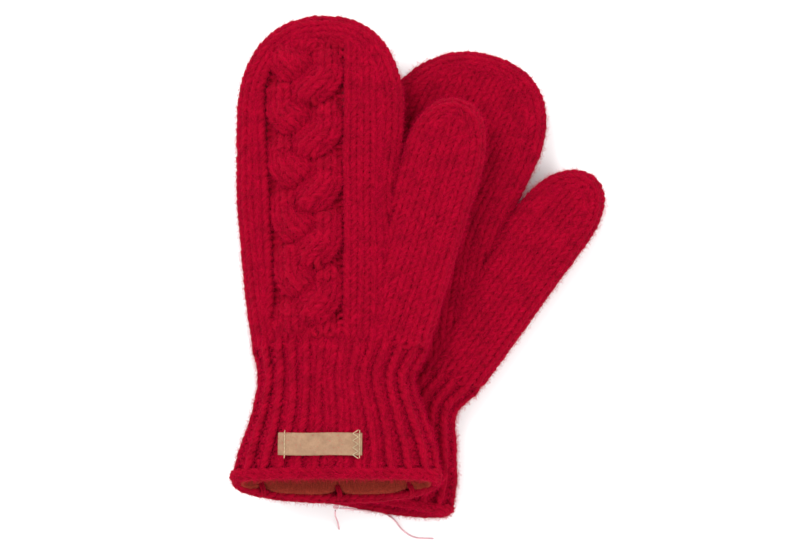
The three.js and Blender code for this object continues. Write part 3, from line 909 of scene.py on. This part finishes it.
def wool_material(name, dark, light, sheen):
    """Loosely twisted wool: fibres run round the yarn at a slant, with darker and lighter patches."""
    mat, tree, bsdf = new_material(name)
    link = tree.links.new
    uv = node(tree, "ShaderNodeUVMap", uv_map="yarn")
    split = node(tree, "ShaderNodeSeparateXYZ")
    link(uv.outputs["UV"], split.inputs[0])
    twist = node(tree, "ShaderNodeMath", operation="MULTIPLY_ADD")
    twist.inputs[1].default_value = 1.6
    link(split.outputs["X"], twist.inputs[0])
    link(split.outputs["Y"], twist.inputs[2])
    fibre_at = node(tree, "ShaderNodeCombineXYZ")
    link(split.outputs["X"], fibre_at.inputs["X"])
    link(twist.outputs[0], fibre_at.inputs["Y"])
    stretch = node(tree, "ShaderNodeVectorMath", operation="MULTIPLY")
    stretch.inputs[1].default_value = (3.0, 13.0, 1.0)
    link(fibre_at.outputs[0], stretch.inputs[0])
    fibre = node(tree, "ShaderNodeTexNoise", Scale=1.0, Detail=3.0, Roughness=0.6)
    link(stretch.outputs[0], fibre.inputs["Vector"])
    patch = texture(tree, "ShaderNodeTexNoise", Scale=140.0, Detail=3.0, Roughness=0.6)
    fine = two_tone(tree, fibre.outputs["Fac"], dark, light, 0.3, 0.72)
    broad = two_tone(tree, patch.outputs["Fac"], (0.72, 0.72, 0.72), (1.0, 1.0, 1.0), 0.35, 0.62)
    color = mixed(tree, "MULTIPLY", 1.0, fine, broad)
    link(color, bsdf.inputs["Base Color"])
    bumped(tree, bsdf, fibre.outputs["Fac"], 0.6, 0.0006)
    matt(bsdf, 0.92, 0.05, sheen, (1.0, 0.04, 0.12))
    bsdf.inputs["Sheen Roughness"].default_value = 0.4
    return mat


def felt_material(name, dark, light, scale, bump, sheen=0.2, tint=(1, 1, 1)):
    """Matted fibres, in patches of a darker and a lighter tone."""
    mat, tree, bsdf = new_material(name)
    fine = texture(tree, "ShaderNodeTexNoise", Scale=scale, Detail=6.0, Roughness=0.7)
    broad = texture(tree, "ShaderNodeTexNoise", Scale=scale / 9, Detail=2.0)
    tone = two_tone(tree, fine.outputs["Fac"], dark, light, 0.32, 0.68)
    wide = two_tone(tree, broad.outputs["Fac"], (0.75, 0.75, 0.75), (1, 1, 1), 0.3, 0.7)
    tree.links.new(mixed(tree, "MULTIPLY", 1.0, tone, wide), bsdf.inputs["Base Color"])
    bumped(tree, bsdf, fine.outputs["Fac"], 0.8, bump)
    matt(bsdf, 0.95, 0.15, sheen, tint)
    return mat


def leather_material():
    """Undyed leather: cloudy, with fine pores."""
    mat, tree, bsdf = new_material("label_leather")
    grain = texture(tree, "ShaderNodeTexVoronoi", Scale=1900.0, feature="SMOOTH_F1")
    cloud = texture(tree, "ShaderNodeTexNoise", Scale=220.0, Detail=5.0, Roughness=0.6)
    tone = two_tone(tree, cloud.outputs["Fac"], (0.215, 0.115, 0.058), (0.305, 0.172, 0.092), 0.3, 0.7)
    pores = two_tone(tree, grain.outputs["Distance"], (1, 1, 1), (0.86, 0.84, 0.8), 0.3, 0.75)
    tree.links.new(mixed(tree, "MULTIPLY", 1.0, tone, pores), bsdf.inputs["Base Color"])
    bumped(tree, bsdf, grain.outputs["Distance"], 0.35, 0.0002)
    bsdf.inputs["Roughness"].default_value = 0.62
    return mat


def floor_material():
    mat, tree, bsdf = new_material("floor")
    noise = texture(tree, "ShaderNodeTexNoise", Scale=3.0)
    tone = two_tone(tree, noise.outputs["Fac"], (0.93, 0.93, 0.93), (0.95, 0.95, 0.95))
    tree.links.new(tone, bsdf.inputs["Base Color"])
    matt(bsdf, 1.0, 0.0)
    return mat


FUZZ_SOCKETS = (
    ("Geometry", "INPUT", "Geometry"),
    ("Grown on", "INPUT", "Object"),
    ("Seed", "INPUT", "Int"),
    ("Geometry", "OUTPUT", "Geometry"),
)


def fuzz_tree(mat, density, length, radius):
    """Nodes that grow loose fibres on another object where it is hairy, so that they follow its pose;
    density is per square metre, length and radius are in metres."""
    tree = bpy.data.node_groups.new(f"grow_{mat.name}", "GeometryNodeTree")
    new = tree.nodes.new
    for label, way, kind in FUZZ_SOCKETS:
        tree.interface.new_socket(label, in_out=way, socket_type=f"NodeSocket{kind}")
    start = new("NodeGroupInput")
    end = new("NodeGroupOutput")
    source = node(tree, "GeometryNodeObjectInfo", transform_space="RELATIVE")
    scatter = new("GeometryNodeDistributePointsOnFaces")
    hairy = node(tree, "GeometryNodeInputNamedAttribute", Name="hairy")
    amount = node(tree, "ShaderNodeMath", operation="MULTIPLY")
    amount.inputs[1].default_value = density
    line = node(tree, "GeometryNodeCurveQuadraticBezier", Resolution=4, Start=(0, 0, 0),
                Middle=(length * 0.2, 0, length * 0.55), End=(length * 0.85, length * 0.25, length * 0.62))
    tilt = node(tree, "FunctionNodeRandomValue", data_type="FLOAT_VECTOR")
    tilt.inputs[0].default_value = (-0.9, -0.9, -math.pi)
    tilt.inputs[1].default_value = (0.9, 0.9, math.pi)
    size = new("FunctionNodeRandomValue")
    size.inputs[2].default_value = 0.35
    size.inputs[3].default_value = 1.2
    euler = new("FunctionNodeEulerToRotation")
    turn = node(tree, "FunctionNodeRotateRotation", rotation_space="LOCAL")
    grow = new("GeometryNodeInstanceOnPoints")
    real = new("GeometryNodeRealizeInstances")
    thick = node(tree, "GeometryNodeSetCurveRadius", Radius=radius)
    paint = node(tree, "GeometryNodeSetMaterial", Material=mat)
    link = tree.links.new
    link(start.outputs["Grown on"], source.inputs["Object"])
    for taker in (scatter, tilt, size):
        link(start.outputs["Seed"], taker.inputs["Seed"])
    link(hairy.outputs["Attribute"], amount.inputs[0])
    link(amount.outputs[0], scatter.inputs["Density"])
    link(source.outputs["Geometry"], scatter.inputs["Mesh"])
    link(scatter.outputs["Points"], grow.inputs["Points"])
    link(line.outputs["Curve"], grow.inputs["Instance"])
    link(tilt.outputs[0], euler.inputs[0])
    link(scatter.outputs["Rotation"], turn.inputs[0])
    link(euler.outputs[0], turn.inputs[1])
    link(turn.outputs[0], grow.inputs["Rotation"])
    link(size.outputs[1], grow.inputs["Scale"])
    for before, after in ((grow, real), (real, thick), (thick, paint), (paint, end)):
        link(before.outputs[0], after.inputs[0])
    return tree


def fuzz(obj, tree, seed):
    """Loose fibres that stand off a piece."""
    name = f"fibres_{obj.name}"
    fibres = bpy.data.objects.new(name, bpy.data.hair_curves.new(name))
    bpy.context.scene.collection.objects.link(fibres)
    modifier = fibres.modifiers.new("grow", "NODES")
    modifier.node_group = tree
    for item in tree.interface.items_tree:
        if item.name == "Grown on":
            modifier[item.identifier] = obj
        if item.name == "Seed":
            modifier[item.identifier] = seed


def fibre_material(name, color):
    """A loose fibre, up to a third lighter in places."""
    mat, tree, bsdf = new_material(name)
    noise = texture(tree, "ShaderNodeTexNoise", Scale=300.0)
    light = tuple(min(1.0, c * 1.35) for c in color)
    tree.links.new(two_tone(tree, noise.outputs["Fac"], color, light), bsdf.inputs["Base Color"])
    matt(bsdf, 0.9, 0.03)
    return mat


wool = wool_material("wool", (0.175, 0.0002, 0.0065), (0.375, 0.0006, 0.020), 0.12)
# Painted shade: the backing is about half as light as the yarn, so the gaps between the stitches read dark.
backing = felt_material("wool_backing", (0.076, 0.00023, 0.003), (0.18, 0.00076, 0.0091),
                        900.0, 0.0006, 0.0)
fleece = felt_material("fleece", (0.17, 0.014, 0.0084), (0.35, 0.04, 0.023),
                       1100.0, 0.0008, 0.2, (1, 0.3, 0.2))
leather = leather_material()
thread = wool_material("label_thread", (0.47, 0.34, 0.20), (0.65, 0.54, 0.35), 0.05)
tail_wool = wool_material("tail_wool", (0.68, 0.36, 0.40), (0.80, 0.54, 0.57), 0.1)
wool_fibre = fibre_material("wool_fibre", (0.40, 0.0012, 0.028))
fleece_fibre = fibre_material("fleece_fibre", (0.32, 0.034, 0.021))

wool_fuzz = fuzz_tree(wool_fibre, 1150000.0, 0.0027, 0.000028)
fleece_fuzz = fuzz_tree(fleece_fibre, 5000000.0, 0.0012, 0.00003)

# ---- Build both mittens ----
# The stretch of the thumb that bends, in the mitten's frame: from its lower to its upper end.
THUMB_BEND = thumb_to_mitten(np.array([[0.0, -8.0, THUMB_THICKNESS / 2],
                                       [0.0, THUMB_JOINT_RADIUS + 4, THUMB_THICKNESS / 2]]))


def dress(obj, mat, body):
    """Gives a piece its material and the body it rides on."""
    obj.data.materials.append(mat)
    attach(obj, body)


def bend_thumb(obj, mat, side):
    """Gives a piece of the thumb its material and bakes its place into its mesh; the ends of the thumb's
    bend are worked out but not used.
    """
    start, end = (LAY[side](THUMB_BEND) / 1000).tolist()
    obj.data.materials.append(mat)
    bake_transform(obj)


for number, side in enumerate(("right", "left")):
    body = f"{side}_mitten"
    knits = build_knit(side)
    hand_backing, thumb_backing, cuff_backing = build_backing(side)
    for name, obj in knits.items():
        if "thumb" in name:
            bend_thumb(obj, wool, side)
        else:
            dress(obj, wool, body)
    dress(hand_backing, backing, body)
    bend_thumb(thumb_backing, backing, side)
    dress(cuff_backing, backing, body)
    lining, hand_fleece, thumb_fleece = build_lining(side)
    dress(lining, fleece, body)
    dress(hand_fleece, fleece, body)
    bend_thumb(thumb_fleece, fleece, side)
    label = build_label(side)
    dress(label, leather, body)
    for place, stitches in (("outer", outer_seam()), ("inner", inner_seam())):
        seam = build_seam(f"{side}_label_seam_{place}", side, stitches)
        dress(seam, thread, body)
        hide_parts(f"{side}_label_stitch_{place}")
    for k, tack in enumerate(build_tacks(side)):
        dress(tack, wool, body)
        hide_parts(f"{side}_lining_tack_{k + 1}")
    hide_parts(f"{side}_hand_shell")
    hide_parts(f"{side}_thumb_shell")
    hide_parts(f"{side}_hand_lining")
    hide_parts(f"{side}_thumb_lining")
    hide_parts(f"{side}_cuff_rib")
    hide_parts(f"{side}_cable_plait")
    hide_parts(f"{side}_cuff_edge")
    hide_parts(f"{side}_cuff_lining")
    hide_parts(f"{side}_label")
    for k, obj in enumerate(knits.values()):
        fuzz(obj, wool_fuzz, 10 * number + k)
    fuzz(lining, fleece_fuzz, 90 + number)

# ---- Loose yarn ends, on the CAD part's routes: x, y and height as a share of the knot's ----
KNOT = np.array([9.0, -3.2])
KNOT_HEIGHT = float(rest_height(KNOT[0], 0.0)) + 1.5  # in the lower layer of its rim
TAIL_RADIUS = 0.45
TAIL_DROP = (
    (11.2, -3.8, 0.95),
    (19, -4.8, 0.6),
    (27, -6.0, 0.15),
    (35, -7.2, 0),
    (41, -11, 0),
    (46, -17, 0),
    (53, -21.0, 0),
    (63.5, -21.6, 0),
)
SHORT_END = (
    (8.6, -5.2, 0.95),
    (8.2, -8.6, 0.55),
    (8.8, -12, 0.1),
    (9.6, -16.4, 0),
)
ROUTE_POINTS = 36


def smooth_line(points, count):
    """Evenly spaced points on a smooth line through a few points, and the line's length."""
    p = np.asarray(points, float)
    p = np.concatenate([[2 * p[0] - p[1]], p, [2 * p[-1] - p[-2]]])
    t = np.linspace(0, 1, 24, endpoint=False)[:, None]
    line = []
    for k in range(1, len(p) - 2):
        a, b, c, d = p[k - 1], p[k], p[k + 1], p[k + 2]
        bend = (2 * a - 5 * b + 4 * c - d) * t**2 + (3 * b - a - 3 * c + d) * t**3
        line.append(0.5 * (2 * b + (c - a) * t + bend))
    line.append(p[-2][None])
    line = np.concatenate(line)
    length = length_along(line)
    at = np.linspace(0, length[-1], count)
    return np.stack([np.interp(at, length, line[:, k]) for k in range(3)], -1), length[-1]


def loose_end(name, drop, node_name):
    """A yarn end that falls from the knot and lies on the table."""
    points = [(x, y, share * KNOT_HEIGHT + TAIL_RADIUS + 0.3) for x, y, share in drop]
    line, length = smooth_line(points, ROUTE_POINTS)
    line = line - ORIGIN
    yarn = Yarn()
    yarn.add(line[None], np.array([[0.0, 0.0, 1.0]]), TAIL_RADIUS)
    obj = yarn.mesh(name, lambda p: p, sides=8)
    dress(obj, tail_wool, "left_mitten")
    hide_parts(node_name)


def tie_knot():
    """The knot that both yarn ends come out of: yarn wound twice round."""
    turn = np.linspace(0, 4 * math.pi, 40)
    wound = np.stack([1.1 * np.cos(turn), np.sin(turn) * np.cos(turn / 2), np.sin(turn)], -1)
    place = np.array([*KNOT, KNOT_HEIGHT]) - ORIGIN
    yarn = Yarn()
    yarn.add((wound + place)[None], np.array([[0.0, 1.0, 0.1]]), 0.6)
    obj = yarn.mesh("left_thread_knot", lambda p: p)
    dress(obj, tail_wool, "left_mitten")
    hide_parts("left_tail_knot")


loose_end("left_tail_thread", TAIL_DROP, "left_yarn_tail")
loose_end("left_short_thread", SHORT_END, "left_short_end")
tie_knot()

# ---- Floor and light ----
bpy.ops.mesh.primitive_plane_add(size=6)
floor = bpy.context.object
floor.name = "floor"
floor.data.materials.append(floor_material())


def area_light(name, place, size, power):
    """A square lamp that faces the mittens."""
    data = bpy.data.lights.new(name, "AREA")
    data.shape = "SQUARE"
    data.size = size
    data.energy = power
    light = bpy.data.objects.new(name, data)
    light.location = place
    light.rotation_mode = "QUATERNION"
    light.rotation_quaternion = (-Vector(place)).to_track_quat("-Z", "Y")
    bpy.context.scene.collection.objects.link(light)


area_light("key", (-0.9, 1.0, 1.6), 1.0, 26)
area_light("fill", (1.2, -0.6, 1.4), 1.4, 12)
world = bpy.data.worlds.new("world")
world.use_nodes = True
background = world.node_tree.nodes["Background"]
background.inputs["Color"].default_value = (1, 1, 1, 1)
background.inputs["Strength"].default_value = 1.3
bpy.context.scene.world = world
bpy.context.scene.view_settings.view_transform = "Standard"
